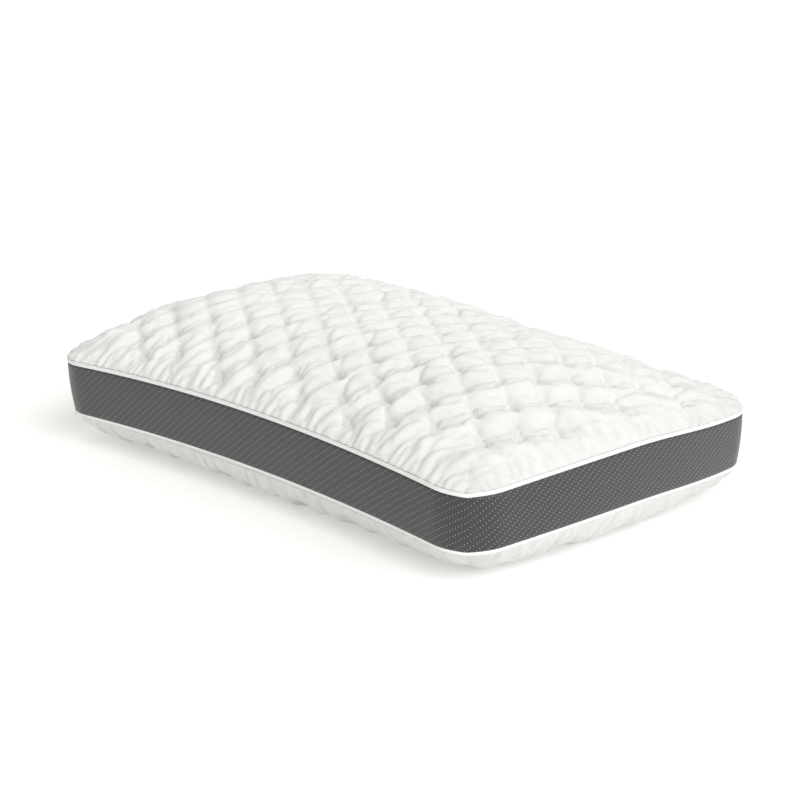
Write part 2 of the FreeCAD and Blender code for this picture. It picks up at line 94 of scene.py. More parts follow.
# Quilting: dashed lines of tacks, slanting across the panel
TACK_STEP = Vector((29, -20)) * MM                  # to the next tack of a line
LINE_STEP = Vector((42, 12)) * MM                   # to the next line
TACK_ANGLE = math.radians(-29)
TACK_LENGTH = 14 * MM
TACK_DEPTH = 5 * MM
TACK_MARGIN = 16 * MM
TACK_CORNER_LIMIT = 1.75                            # leaves the corners without tacks
TACK_REACH = 10                                     # steps each way that cover the panel
TACK_THREAD = 0.42 * MM

# The panel as it is cut and gathered, before it puffs up
GRID_STEP = 2.0 * MM
CLOTH_GROWTH = 0.04                                 # it is cut longer than its dome,
SEAM_GROWTH = 0.02                                  # less so by the seam or far from a tack:
SEAM_MARGIN = 30 * MM                               # the seam's share fades over this,
TACK_REACH_OUT = 16 * MM                            # and a tack gathers the cloth this far
RIDGE_HEIGHT, VALLEY_DROP = 6 * MM, 3 * MM          # folds between the tacks
CREASE_HEIGHT, CREASES_PER_RIDGE = 1.1 * MM, 3
GATHER_PITCH, GATHER_HEIGHT = 12 * MM, 1.8 * MM     # small folds that run in from the seam
GATHER_START = 6 * MM
START_PIT_RADIUS = 5 * MM
RIDGE_WANDER = (70, 47, 31)                         # pitches of unevenness, in mm
CLOTH_SCALE = 10                                    # the solver works best on metre-sized cloth
CLOTH_FRAMES = 16
RIM_FLATTENING = 0.5                                # the seam's pull keeps the rim flat

# The cloth's own folds, on the puffs
FOLD_PITCH, FINE_PITCH = 17 * MM, 9 * MM
FINE_SHARE = 0.25                                   # of the coarse folds' height
SEAM_FOLD, MIDDLE_FOLD = 5.6 * MM, 3.0 * MM         # heights
FOLD_LEAN = (LINE_STEP.x - TACK_STEP.x) / (LINE_STEP.y - TACK_STEP.y)
FOLD_TURN = 70 * MM                                 # they turn square to the seam over this
SEAM_FOLD_WIDTH = 20 * MM                           # the seam's folds keep their height this far
END_BLEND = 30 * MM
FOLD_FADE = 7 * MM                                  # they die away next to the seam
TACK_FADE = 9 * MM                                  # and next to a tack
CORNER_CALM = 0.7                                   # and mostly at the corners
FOLD_WANDER, FINE_WANDER, FULLNESS_WANDER = (90, 61, 43), (57, 39, 28), (48, 33)
PUCKER_PITCH, PUCKER_HEIGHT = 6.5 * MM, 1.6 * MM    # wrinkles at the tacks
PUCKER_REACH, PUCKER_WIDTH = 11 * MM, 9 * MM
PUCKER_GAP = 3 * MM
PIT_DEPTH, PIT_RADIUS = 1.8 * MM, 3.5 * MM          # pulled in by the thread itself
PIT_SEAM_FADE = 12 * MM

rng = np.random.default_rng(7)


# ---------------------------------------------------------------- outline and domes

def smooth(t):
    t = np.clip(t, 0.0, 1.0)
    return t * t * (3 - 2 * t)


def plan(a, b, inset=0.0):
    """Where the point (a, b), each from -1 to 1 across the cover, lies in plan."""
    half_x, half_y = HALF_LENGTH - inset, HALF_WIDTH - inset
    radius = CORNER_RADIUS - inset
    x, y = a * half_x, b * half_y
    over_x = np.abs(x) - (half_x - radius)
    over_y = np.abs(y) - (half_y - radius)
    corner = (over_x > 0) & (over_y > 0)
    reach = np.maximum(np.hypot(over_x, over_y), 1e-9)
    squeeze = np.maximum(over_x, over_y) / reach
    x = np.where(corner, np.sign(x) * (half_x - radius + over_x * squeeze), x)
    y = np.where(corner, np.sign(y) * (half_y - radius + over_y * squeeze), y)
    bow = END_BOW * (x / half_x) * (1 - (y / half_y) ** 2)
    waist = np.where(y < 0, FRONT_WAIST, 0.0) * (y / half_y) * (1 - (x / half_x) ** 2)
    return x + bow, y - waist


def bottom_plan(a, b, inset=0.0):
    """The same on the bottom seam, which is taken in except along the zip."""
    x, y = plan(a, b, inset)
    return x * (1 - BAND_TAPER / HALF_LENGTH), y + BAND_TAPER * (1 - b) / 2


def seam_shift(a, b, rise, droop):
    """How far a seam leaves its level plane; it stays level along the zip."""
    free = rise - droop * (a * b) ** 2
    past_zip = (np.abs(a) * HALF_LENGTH - ZIP_HALF_LENGTH) / (HALF_LENGTH - ZIP_HALF_LENGTH)
    at_back = (rise - droop) * smooth(past_zip)
    back = smooth(b)
    return free * (1 - back) + at_back * back


def top_shift(a, b):
    return seam_shift(a, b, TOP_RISE, TOP_DROOP)


def bottom_shift(a, b):
    return seam_shift(a, b, BOTTOM_RISE, BOTTOM_DROOP)


def from_seams(a, b):
    """How far a point is from the nearer end and from the nearer side."""
    return (1 - np.abs(a)) * HALF_LENGTH, (1 - np.abs(b)) * HALF_WIDTH


def dome_rise(a, b, run, power):
    """0 at the seam, 1 over the flat middle."""
    to_end, to_side = from_seams(a, b)
    near_x, near_y = np.clip(to_end / run, 0, 1), np.clip(to_side / run, 0, 1)
    return (1 - (1 - near_x) ** power) * (1 - (1 - near_y) ** power)


def top_surface(a, b, top=CROWN_TOP - CROWN_SAG, inset=0.0):
    x, y = plan(a, b, inset)
    base = CROWN_BASE + top_shift(a, b)
    rise = dome_rise(a, b, CROWN_RUN, CROWN_POWER)
    slump = (CROWN_LIFT - CROWN_SLUMP * smooth((a + 0.3) / 0.7)) * smooth((b + 0.1) / 0.8)
    z = base + (top - base) * rise + slump * np.minimum(4 * rise, 1)
    return np.stack([x, y, z], -1)


def bottom_surface(a, b, foot=FOOT_HEIGHT, inset=0.0):
    x, y = bottom_plan(a, b, inset)
    base = BELLY_BASE + bottom_shift(a, b)
    rise = dome_rise(a, b, BELLY_RUN, BELLY_POWER) * (1 - BELLY_TAPER * (a * b) ** 2)
    z = base + (foot - base) * rise
    return np.stack([x, y, z], -1)


def grid_parameters(step):
    across = int(round(2 * HALF_LENGTH / step))
    deep = int(round(2 * HALF_WIDTH / step))
    return np.meshgrid(np.linspace(-1, 1, across + 1), np.linspace(-1, 1, deep + 1))


def local_frames(surface, a, b, up):
    """Unit vectors along a, along b and outward, at every point of a dome."""
    points = surface(a, b)
    along = np.gradient(points, axis=1)
    along /= np.linalg.norm(along, axis=-1, keepdims=True)
    across = np.gradient(points, axis=0)
    across -= (across * along).sum(-1, keepdims=True) * along
    across /= np.linalg.norm(across, axis=-1, keepdims=True)
    outward = np.cross(along, across) * up
    return np.stack([along, across, outward], -2)


# ---------------------------------------------------------------- meshes

def new_mesh(name, points, faces, uv=None, smooth_shading=True):
    mesh = bpy.data.meshes.new(name)
    mesh.from_pydata([tuple(p) for p in points], [], [tuple(int(i) for i in f) for f in faces])
    mesh.polygons.foreach_set("use_smooth", [smooth_shading] * len(mesh.polygons))
    if uv is not None:
        corners = np.empty(len(mesh.loops), int)
        mesh.loops.foreach_get("vertex_index", corners)
        layer = mesh.uv_layers.new(name="cloth")
        layer.data.foreach_set("uv", np.asarray(uv, float)[corners].ravel())
    mesh.update()
    obj = bpy.data.objects.new(name, mesh)
    bpy.context.scene.collection.objects.link(obj)
    return obj


def grid_faces(rows, columns):
    index = np.arange(rows * columns).reshape(rows, columns)
    quads = np.stack([index[:-1, :-1], index[:-1, 1:], index[1:, 1:], index[1:, :-1]], -1)
    return quads.reshape(-1, 4)


def grid_rim(rows, columns):
    """The indices of a grid's border, in order."""
    index = np.arange(rows * columns).reshape(rows, columns)
    return np.concatenate([index[0, :-1], index[:-1, -1], index[-1, :0:-1], index[:0:-1, 0]])


def ring_faces(rings, count, closed, first=0):
    """Quads between successive rings of count points; open sweeps get end caps."""
    index = first + np.arange(rings * count).reshape(rings, count)
    following = np.roll(index, -1, axis=0) if closed else index[1:]
    start = index if closed else index[:-1]
    quads = np.stack([start, np.roll(start, -1, 1), np.roll(following, -1, 1), following], -1)
    faces = [tuple(q) for q in quads.reshape(-1, 4)]
    if not closed:
        faces += [tuple(index[0][::-1]), tuple(index[-1])]
    return faces


def swept(name, rings, closed, uv=None):
    rings = np.asarray(rings, float)
    faces = ring_faces(rings.shape[0], rings.shape[1], closed)
    flat_uv = None if uv is None else np.asarray(uv, float).reshape(-1, 2)
    return new_mesh(name, rings.reshape(-1, 3), faces, flat_uv)


def thread_mesh(name, tubes, sides):
    """Round tubes, each given by its centres and their radii."""
    first, points, faces = 0, [], []
    turn = np.linspace(0, 2 * math.pi, sides, endpoint=False)
    for centres, radii in tubes:
        centres = np.asarray(centres, float)
        heading = np.gradient(centres, axis=0)
        heading /= np.linalg.norm(heading, axis=1, keepdims=True)
        aside = np.cross(heading, (0, 0, 1.0))
        aside /= np.maximum(np.linalg.norm(aside, axis=1, keepdims=True), 1e-9)
        above = np.cross(aside, heading)
        circle = (np.cos(turn)[None, :, None] * aside[:, None]
                  + np.sin(turn)[None, :, None] * above[:, None])
        rings = centres[:, None] + np.asarray(radii)[:, None, None] * circle
        faces += ring_faces(len(centres), sides, False, first)
        points.append(rings.reshape(-1, 3))
        first += rings.shape[0] * sides
    return new_mesh(name, np.concatenate(points), faces)


def stitch(start, end, lift, radius):
    """A stitch of thread that comes out of the cloth at start and goes back in at end."""
    start, end, lift = np.asarray(start), np.asarray(end), np.asarray(lift)
    ways = np.array([0, 0.12, 0.35, 0.65, 0.88, 1])
    heights = np.array([-0.6, 0.3, 1.0, 1.0, 0.3, -0.6])
    radii = radius * np.array([0.5, 0.85, 1, 1, 0.85, 0.5])
    centres = start + np.outer(ways, end - start) + np.outer(heights, lift)
    return centres, radii


# ---------------------------------------------------------------- quilted panels

def tack_samples(step):
    """Points along every tack, in plan, no further apart than step."""
    limit_x = HALF_LENGTH - TACK_MARGIN
    limit_y = HALF_WIDTH - FRONT_WAIST - TACK_MARGIN
    along = Vector((math.cos(TACK_ANGLE), math.sin(TACK_ANGLE)))
    offsets = np.linspace(-TACK_LENGTH / 2, TACK_LENGTH / 2, int(TACK_LENGTH / step) + 1)
    tacks = []
    for i in range(-TACK_REACH, TACK_REACH + 1):
        for j in range(-TACK_REACH, TACK_REACH + 1):
            spot = TACK_STEP * i + LINE_STEP * j
            share_x, share_y = abs(spot.x) / limit_x, abs(spot.y) / limit_y
            if share_x <= 1 and share_y <= 1 and share_x + share_y < TACK_CORNER_LIMIT:
                tacks.append(np.array([spot + along * float(t) for t in offsets]))
    return tacks


def seam_mask(rows, columns):
    edge = np.zeros((rows, columns), bool)
    edge[[0, -1]] = True
    edge[:, [0, -1]] = True
    return edge.ravel()


def seam_distance(a, b):
    return np.minimum(*from_seams(a, b))


def wander(x, y, pitches):
    """A slow, uneven wave over the cloth: a sine in a random direction for each pitch, in mm."""
    total = np.zeros(x.shape)
    for pitch in pitches:
        turn, phase = rng.uniform(0, math.pi), rng.uniform(0, 2 * math.pi)
        total += np.sin((x * math.cos(turn) + y * math.sin(turn)) * 2 * math.pi / (pitch * MM) + phase)
    return total


def crease_seeds(a, b):
    """The folds that the tacks gather the cloth into: ridges between the tacks, finer creases on
    them, and small gathers that run in from the seam."""
    x, y = plan(a, b)
    cell = TACK_STEP.x * LINE_STEP.y - TACK_STEP.y * LINE_STEP.x
    ridge = (x * (LINE_STEP.y - TACK_STEP.y) - y * (LINE_STEP.x - TACK_STEP.x)) / cell
    drift = wander(x, y, RIDGE_WANDER)
    ridges = RIDGE_HEIGHT * (0.5 - 0.5 * np.cos(2 * math.pi * ridge)) - VALLEY_DROP
    creases = CREASE_HEIGHT * np.sin(2 * math.pi * CREASES_PER_RIDGE * ridge + 1.1 * drift)
    to_end, to_side = from_seams(a, b)
    along = np.where(to_end < to_side, y, x)
    gathers = GATHER_HEIGHT * np.sin(along * 2 * math.pi / GATHER_PITCH + 1.5 * drift)
    inside = smooth((seam_distance(a, b) - GATHER_START) / SEAM_MARGIN)
    return ((ridges + creases) * inside + gathers * (1 - inside)).ravel()


def tack_field(x, y, tacks):
    """For every point: how far the nearest tack is, and the point's place along and across it."""
    near, along, across = (np.full(x.shape, 1.0) for _ in range(3))
    for tack in tacks:
        run = tack[-1] - tack[0]
        reach = np.linalg.norm(run)
        heading = run / reach
        middle = (tack[-1] + tack[0]) / 2
        lengthwise = (x - middle[0]) * heading[0] + (y - middle[1]) * heading[1]
        sideways = (y - middle[1]) * heading[0] - (x - middle[0]) * heading[1]
        away = np.hypot(np.maximum(np.abs(lengthwise) - reach / 2, 0), sideways)
        closer = away < near
        near = np.where(closer, away, near)
        along = np.where(closer, lengthwise, along)
        across = np.where(closer, sideways, across)
    return near, along, across


def sharp_folds(phase):
    """Rounded folds with narrow valleys between them, 1 high."""
    return np.sqrt(np.sin(phase) ** 2 + 0.01) - 0.64


def fold_phase(a, b, x, y):
    """A measure that grows across the folds. Its lines stand square to the long seams and lean
    over, to run from tack to tack, further in."""
    to_side = from_seams(a, b)[1]
    outer = np.clip(1 - to_side / FOLD_TURN, 0, 1)
    straightened = outer - outer ** 3 + outer ** 4 / 2
    turned = np.sign(b) * (HALF_WIDTH - FOLD_TURN + FOLD_TURN * straightened)
    return x - FOLD_LEAN * np.where(outer > 0, turned, y)


def fine_folds(a, b, near, along, across):
    """How far the cloth's own folds stand out. They run in from the seam, turn across from tack to
    tack further in, and each tack puckers the cloth beside it."""
    x, y = plan(a, b)
    to_end, to_side = from_seams(a, b)
    to_seam = seam_distance(a, b)
    at_end = (1 - smooth(to_end / FOLD_TURN)) * smooth(0.5 + (to_side - to_end) / END_BLEND)
    drift, fine_drift = wander(x, y, FOLD_WANDER), wander(x, y, FINE_WANDER)
    fullness = 0.6 + 0.2 * wander(x, y, FULLNESS_WANDER)
    folds = np.zeros(a.shape)
    for way, weight in ((fold_phase(a, b, x, y), 1 - at_end), (y, at_end)):
        coarse = sharp_folds(math.pi * way / FOLD_PITCH + 0.5 * drift)
        fine = sharp_folds(math.pi * way / FINE_PITCH + 0.9 * fine_drift)
        folds += weight * (coarse + FINE_SHARE * fine)
    by_seam = 1 - smooth((to_seam - SEAM_FOLD_WIDTH) / FOLD_TURN)
    height = MIDDLE_FOLD + (SEAM_FOLD - MIDDLE_FOLD) * by_seam
    folds *= height * fullness * smooth(to_seam / FOLD_FADE) * smooth(near / TACK_FADE)
    folds *= 1 - CORNER_CALM * smooth(np.abs(a) * 5 - 4) * smooth(np.abs(b) * 4 - 3)
    spread = np.exp(-(across / PUCKER_REACH) ** 2 - (along / PUCKER_WIDTH) ** 2)
    pucker = np.cos(2 * math.pi * along / PUCKER_PITCH + drift) * smooth(np.abs(across) / PUCKER_GAP)
    puckers = PUCKER_HEIGHT * spread * pucker * smooth(near / PUCKER_GAP)
    pit = PIT_DEPTH * np.exp(-(near / PIT_RADIUS) ** 2) * smooth(to_seam / PIT_SEAM_FADE)
    return (folds + puckers - pit).ravel()


def quilt_start(a, b, tacks, near):
    """The panel before it puffs up: the dome with its folds and a pit round every tack. Also the
    points that each tack holds, the seam's points, and how little each point is gathered."""
    dome = top_surface(a, b).reshape(-1, 3)
    edge = seam_mask(*a.shape)
    start = dome.copy()
    start[:, 2] += crease_seeds(a, b) * ~edge
    pit = np.exp(-(near / START_PIT_RADIUS) ** 2) * ~edge
    start[:, 2] += pit * (dome[:, 2] - TACK_DEPTH - start[:, 2])
    held = []
    for tack in tacks:
        row = []
        for spot in tack:
            distance = np.hypot(dome[:, 0] - spot[0], dome[:, 1] - spot[1])
            distance[edge] = 1
            nearest = int(np.argmin(distance))
            start[nearest] = (*spot, dome[nearest, 2] - TACK_DEPTH)
            row.append(nearest)
        held.append(row)
    looseness = np.maximum(1 - smooth(seam_distance(a, b).ravel() / SEAM_MARGIN),
                           smooth((near - TACK_REACH_OUT) / SEAM_MARGIN))
    return start, held, edge, looseness


def puff_up(start, pinned, by_seam, shape):
    """Lets the panel, cut too long for its dome, puff up between its tacks and its seam."""
    panel = new_mesh("panel_cloth", start * CLOTH_SCALE, grid_faces(*shape))
    fullness = panel.vertex_groups.new(name="by_the_seam")
    for index, weight in enumerate(by_seam):
        if weight > 0:
            fullness.add([index], weight, "REPLACE")
    group = panel.vertex_groups.new(name="pinned")
    group.add([int(i) for i in np.nonzero(pinned)[0]], 1.0, "REPLACE")
    modifier = panel.modifiers.new("cloth", "CLOTH")
    cloth = modifier.settings
    cloth.quality = 5
    cloth.mass = 0.15
    cloth.tension_stiffness = 15
    cloth.compression_stiffness = 15
    cloth.shear_stiffness = 5
    cloth.bending_stiffness = 0.02
    cloth.tension_damping = 2
    cloth.compression_damping = 2
    cloth.shear_damping = 2
    cloth.bending_damping = 0.5
    cloth.air_damping = 1
    cloth.shrink_min, cloth.shrink_max = -CLOTH_GROWTH, -SEAM_GROWTH
    cloth.vertex_group_shrink = "by_the_seam"
    cloth.vertex_group_mass = "pinned"
    cloth.use_pressure = True
    cloth.uniform_pressure_force = 1.5
    cloth.effector_weights.gravity = 0
    modifier.collision_settings.use_collision = False
    modifier.collision_settings.use_self_collision = False
    modifier.point_cache.frame_start = 1
    modifier.point_cache.frame_end = CLOTH_FRAMES
    scene = bpy.context.scene
    for number in range(1, CLOTH_FRAMES + 1):
        scene.frame_set(number)
    evaluated = panel.evaluated_get(bpy.context.evaluated_depsgraph_get())
    result = np.empty(len(start) * 3)
    evaluated.data.vertices.foreach_get("co", result)
    bpy.data.objects.remove(panel)
    scene.frame_set(1)
    return result.reshape(-1, 3) / CLOTH_SCALE


def closed_panel(name, outer, a, b, surface, level, up):
    """The puffed face, closed underneath where it rests on its backing."""
    rows, columns = a.shape
    rim = grid_rim(rows, columns)
    rim_a, rim_b = a.ravel()[rim], b.ravel()[rim]
    faces = [tuple(f) if up > 0 else tuple(f[::-1]) for f in grid_faces(rows, columns)]
    points = [outer]
    uv = [np.stack([a * HALF_LENGTH, b * HALF_WIDTH], -1).reshape(-1, 2)]
    previous, first = rim, rows * columns
    for share in (1.0, 0.93, 0.85, 0.76, 0.66, 0.55):
        points.append(surface(rim_a * share, rim_b * share, level, PANEL_INSET))
        uv.append(np.stack([rim_a * share * HALF_LENGTH, rim_b * share * HALF_WIDTH], -1))
        current = first + np.arange(len(rim))
        quads = np.stack([previous, current, np.roll(current, -1), np.roll(previous, -1)], -1)
        faces += [tuple(q) if up > 0 else tuple(q[::-1]) for q in quads]
        previous, first = current, first + len(rim)
    faces.append(tuple(previous[::-1]) if up > 0 else tuple(previous))
    return new_mesh(name, np.concatenate(points), faces, np.concatenate(uv))


def tack_stitches(name, outer, held, normals):
    """The thread of every tack, as a row of stitches from point to point."""
    tubes = []
    for row in held:
        spots, lifts = outer[row], normals[row] * 0.45 * MM
        for k in range(len(row) - 1):
            middle = (spots[k] + spots[k + 1]) / 2
            reach = (spots[k + 1] - spots[k]) * 0.56
            tubes.append(stitch(middle - reach, middle + reach, lifts[k], TACK_THREAD))
    return thread_mesh(name, tubes, 5)


a, b = grid_parameters(GRID_STEP)
tacks = tack_samples(GRID_STEP * 1.02)
tack_places = tack_field(*plan(a, b), tacks)
start, held, pinned, by_seam = quilt_start(a, b, tacks, tack_places[0].ravel())
pinned[np.concatenate(held)] = True
top_face = puff_up(start, pinned, by_seam, a.shape)
top_dome = top_surface(a, b).reshape(-1, 3)
top_face = top_dome + (top_face - top_dome) * (1 - RIM_FLATTENING * by_seam)[:, None]

top_frames = local_frames(top_surface, a, b, 1).reshape(-1, 3, 3)
bottom_frames = local_frames(bottom_surface, a, b, -1).reshape(-1, 3, 3)
puffs = np.einsum("nij,nj->ni", top_frames, top_face - top_dome)
top_face += fine_folds(a, b, *tack_places)[:, None] * top_frames[:, 2]
bottom_face = bottom_surface(a, b).reshape(-1, 3)
bottom_face += fine_folds(a, b, *tack_places)[:, None] * bottom_frames[:, 2]
bottom_face += BELLY_PUFF * np.einsum("nij,ni->nj", bottom_frames, puffs)
bottom_face[:, 2] = np.maximum(bottom_face[:, 2], 0)

top_panel = closed_panel("top_quilted_panel", top_face, a, b, top_surface, CROWN_LINING, 1)
bottom_panel = closed_panel("bottom_quilted_panel", bottom_face, a, b, bottom_surface, BELLY_LINING, -1)
top_tacks = tack_stitches("top_tack_stitches", top_face, held, top_frames[:, 2])
bottom_tacks = tack_stitches("bottom_tack_stitches", bottom_face, held, bottom_frames[:, 2])


# ---------------------------------------------------------------- gusset and bindings

def outline_parameters(count):
    """(a, b) of points evenly spaced round the outline, from the middle of the back, seen from above
    anticlockwise: left end, front, right end."""
    fine = np.linspace(-1, 1, 1200, endpoint=False)
    sides = [(-fine, np.ones_like(fine)), (-np.ones_like(fine), -fine),
             (fine, -np.ones_like(fine)), (np.ones_like(fine), fine)]
    loop_a = np.concatenate([s[0] for s in sides])
    loop_b = np.concatenate([s[1] for s in sides])
    half_side = len(fine) // 2
    loop_a, loop_b = np.roll(loop_a, -half_side), np.roll(loop_b, -half_side)
    x, y = plan(np.append(loop_a, loop_a[0]), np.append(loop_b, loop_b[0]))
    run = np.concatenate([[0], np.cumsum(np.hypot(np.diff(x), np.diff(y)))])
    wanted = np.arange(count) * run[-1] / count
    picked = np.searchsorted(run[1:], wanted)
    share = (wanted - run[picked]) / (run[picked + 1] - run[picked])
    next_a, next_b = np.roll(loop_a, -1), np.roll(loop_b, -1)
    return (loop_a[picked] * (1 - share) + next_a[picked] * share,
            loop_b[picked] * (1 - share) + next_b[picked] * share, wanted)


STATIONS = 720                                      # points round the outline
edge_a, edge_b, edge_run = outline_parameters(STATIONS)
top_edge = np.stack(plan(edge_a, edge_b), -1)
bottom_edge = np.stack(bottom_plan(edge_a, edge_b), -1)
heading = np.roll(top_edge, -1, axis=0) - np.roll(top_edge, 1, axis=0)
heading /= np.linalg.norm(heading, axis=1, keepdims=True)
edge_normal = np.stack([heading[:, 1], -heading[:, 0]], -1)
at_zip = smooth((ZIP_HALF_LENGTH + ZIP_BLEND - np.abs(top_edge[:, 0])) / ZIP_BLEND) * (edge_b > 0.99)
top_level, bottom_level = top_shift(edge_a, edge_b), bottom_shift(edge_a, edge_b)


def band_point(share, offset):
    """Points round the gusset at a share of its height, moved out by offset."""
    bulge = BAND_BULGE * 4 * share * (1 - share) * (1 - at_zip)
    xy = bottom_edge * (1 - share) + top_edge * share + edge_normal * (bulge + offset)[:, None]
    z = (BAND_BASE + bottom_level) * (1 - share) + (BAND_TOP + top_level) * share
    return np.concatenate([xy, z[:, None]], 1)


def make_gusset():
    """The mesh band, open along the zip, where the strips close it."""
    shares, inner_shares = np.linspace(0, 1, 17), (1, 0.67, 0.33, 0)
    outer = [band_point(s, np.zeros(STATIONS)) for s in shares]
    inner = [band_point(s, np.full(STATIONS, -BAND_THICKNESS + 0.3 * MM)) for s in inner_shares]
    rings = np.stack(outer + inner, 1)
    heights = np.concatenate([shares, inner_shares]) * (BAND_TOP - BAND_BASE)
    uv = np.stack(np.broadcast_arrays(edge_run[:, None], heights[None]), -1)
    keep = ~((edge_b > 0.99) & (np.abs(top_edge[:, 0]) < ZIP_HALF_LENGTH))
    order = np.nonzero(keep)[0]
    return swept("gusset_mesh_band", rings[order], False, uv[order])


def make_binding(name, share, base, height, level):
    """A rounded strip of folded cloth that covers a seam."""
    turns = np.radians(np.linspace(-90, 90, 9))
    rows = []
    for turn in turns:
        ring = band_point(share, np.full(STATIONS, (0.9 * math.cos(turn) - 0.3) * MM))
        ring[:, 2] = base + level + height / 2 + (height / 2 + 0.4 * MM) * math.sin(turn)
        rows.append(ring)
    for side in (1, -1):
        ring = band_point(share, np.full(STATIONS, -3 * MM))
        ring[:, 2] = base + level + height / 2 + side * (height / 2 - 0.2 * MM)
        rows.append(ring)
    rings = np.stack(rows, 1)
    around = np.linspace(0, height * 1.6, rings.shape[1])
    uv = np.stack(np.broadcast_arrays(edge_run[:, None], around[None]), -1)
    return swept(name, rings, True, uv)


def seam_stitches(name, share, height, offset):
    """Lockstitches along a binding."""
    ring = band_point(share, np.full(STATIONS, offset))
    ring[:, 2] = height
    spots = np.concatenate([ring, ring[:1]])
    run = np.concatenate([[0], np.cumsum(np.linalg.norm(np.diff(spots, axis=0), axis=1))])
    count = int(run[-1] / STITCH_PITCH)
    ends = np.linspace(0, run[-1], count + 1)
    where = [np.interp(ends, run, spots[:, k]) for k in range(3)]
    spots = np.stack(where, -1)
    tubes = []
    for k in range(count):
        reach = spots[k + 1] - spots[k]
        out = np.array([reach[1], -reach[0], 0]) / np.linalg.norm(reach[:2])
        gap = 0.08 * reach
        tubes.append(stitch(spots[k] + gap, spots[k + 1] - gap, out * 0.2 * MM, 0.18 * MM))
    return thread_mesh(name, tubes, 5)


gusset = make_gusset()
top_height = low("top_edge_binding").z
bottom_height = low("bottom_edge_binding").z
top_binding = make_binding("top_binding_strip", 1, top_height + 0.5 * MM, TOP_BINDING, top_level)
bottom_binding = make_binding("bottom_binding_strip", 0, bottom_height, BOTTOM_BINDING, bottom_level)
top_stitches = seam_stitches("top_seam_stitches", 1, top_height + 3.8 * MM + top_level, 0.75 * MM)
bottom_stitches = seam_stitches("bottom_seam_stitches", 0, bottom_height + 0.4 * MM + bottom_level, 0.75 * MM)


# ---------------------------------------------------------------- core, liner and backings

LAYER_SHARES = (0.3, 0.6, 0.75, 0.86, 0.94, 0.985, 1.0)
LAYER_STEP = 5                                      # of the points round the outline
LAYER_THICKNESS = 0.8 * MM
BACKING_INSET = 2.6 * MM


def layer_rings(surface, level, inset, shares):
    some_a, some_b = edge_a[::LAYER_STEP], edge_b[::LAYER_STEP]
    return [surface(some_a * share, some_b * share, level, inset) for share in shares]


def filled_rings(top, bottom, inset):
    """A solid that fills the cover up to an inset, between a top and a bottom level."""
    rings = layer_rings(bottom_surface, bottom, inset, LAYER_SHARES)
    rings += layer_rings(top_surface, top, inset, LAYER_SHARES[::-1])
    return np.array(rings)


def backing(name, surface, level, inner_level):
    """A thin closed layer of cloth under a panel."""
    outer = layer_rings(surface, level, BACKING_INSET, LAYER_SHARES)
    inner = layer_rings(surface, inner_level, BACKING_INSET + LAYER_THICKNESS, LAYER_SHARES[::-1])
    return swept(name, outer + inner, False)


def core_and_liner():
    """The foam core, and the thin hollow liner round it."""
    top, bottom = high("core_liner").z, low("core_liner").z
    wall = BAND_THICKNESS + 0.4 * MM
    outer = filled_rings(top, bottom, wall)
    inner = filled_rings(top - LAYER_THICKNESS, bottom + LAYER_THICKNESS, wall + LAYER_THICKNESS)
    core = swept("foam_core_block", inner, False)
    count = outer.shape[0] * outer.shape[1]
    faces = ring_faces(*outer.shape[:2], False)
    faces += [f[::-1] for f in ring_faces(*inner.shape[:2], False, count)]
    points = np.concatenate([outer.reshape(-1, 3), inner.reshape(-1, 3)])
    return core, new_mesh("core_liner_cover", points, faces)


core, liner = core_and_liner()
top_backing = backing("top_backing_cloth", top_surface, CROWN_LINING, CROWN_LINING - LAYER_THICKNESS)
bottom_backing = backing("bottom_backing_cloth", bottom_surface, BELLY_LINING, BELLY_LINING + LAYER_THICKNESS)


# ---------------------------------------------------------------- zip, at the back

def make_strip(name, source, fold_side):
    """A strip of gusset mesh, folded over along the zip."""
    bottom, top = low(source), high(source)
    stations = np.linspace(bottom.x, top.x, 160)
    depth, height = top.y - bottom.y, top.z - bottom.z
    turns = np.radians(np.linspace(-90, 90, 7))
    fold = [(depth / 2 + depth / 2 * math.sin(t), -depth / 2 * math.cos(t)) for t in turns]
    profile = [(depth, height), (depth, height * 0.66), (depth, height * 0.33), (depth, depth / 2)]
    profile += [(y, depth / 2 + z) for y, z in reversed(fold[1:-1])]
    profile += [(0, depth / 2), (0, height * 0.5), (0, height)]
    profile = np.array(profile)
    z = top.z - (height - profile[:, 1]) if fold_side < 0 else top.z - profile[:, 1]
    ripple = 0.15 * MM * np.sin(stations / (9 * MM))
    rings = np.empty((len(stations), len(profile), 3))
    rings[:, :, 0] = stations[:, None]
    rings[:, :, 1] = bottom.y + profile[None, :, 0] + ripple[:, None] * (profile[None, :, 0] > 0)
    rings[:, :, 2] = z[None]
    if fold_side < 0:
        rings = rings[:, ::-1]
    uv = np.stack([rings[:, :, 0], rings[:, :, 2] - BAND_BASE], -1)
    return swept(name, rings, False, uv)


strip_upper = make_strip("zip_strip_upper_cloth", "zip_strip_upper", -1)
strip_lower = make_strip("zip_strip_lower_cloth", "zip_strip_lower", 1)


def topstitches(name):
    """Two rows of stitches, one on each side of the zip."""
    first, last = low("zip_topstitching"), high("zip_topstitching")
    thread, y = 0.25 * MM, BACK + 0.15 * MM
    tubes = []
    for z in (first.z + thread, last.z - thread):
        for x in np.arange(first.x, last.x - 3 * MM, STITCH_PITCH):
            tubes.append(stitch((x + 0.3 * MM, y, z), (x + 2.9 * MM, y, z), (0, thread, 0), thread))
    return thread_mesh(name, tubes, 5)


zip_stitches = topstitches("zip_topstitches")


def bevelled(obj, width):
    modifier = obj.modifiers.new("bevel", "BEVEL")
    modifier.width = width
    modifier.segments = 2
    modifier.limit_method = "ANGLE"
    modifier.angle_limit = math.radians(40)
    return obj


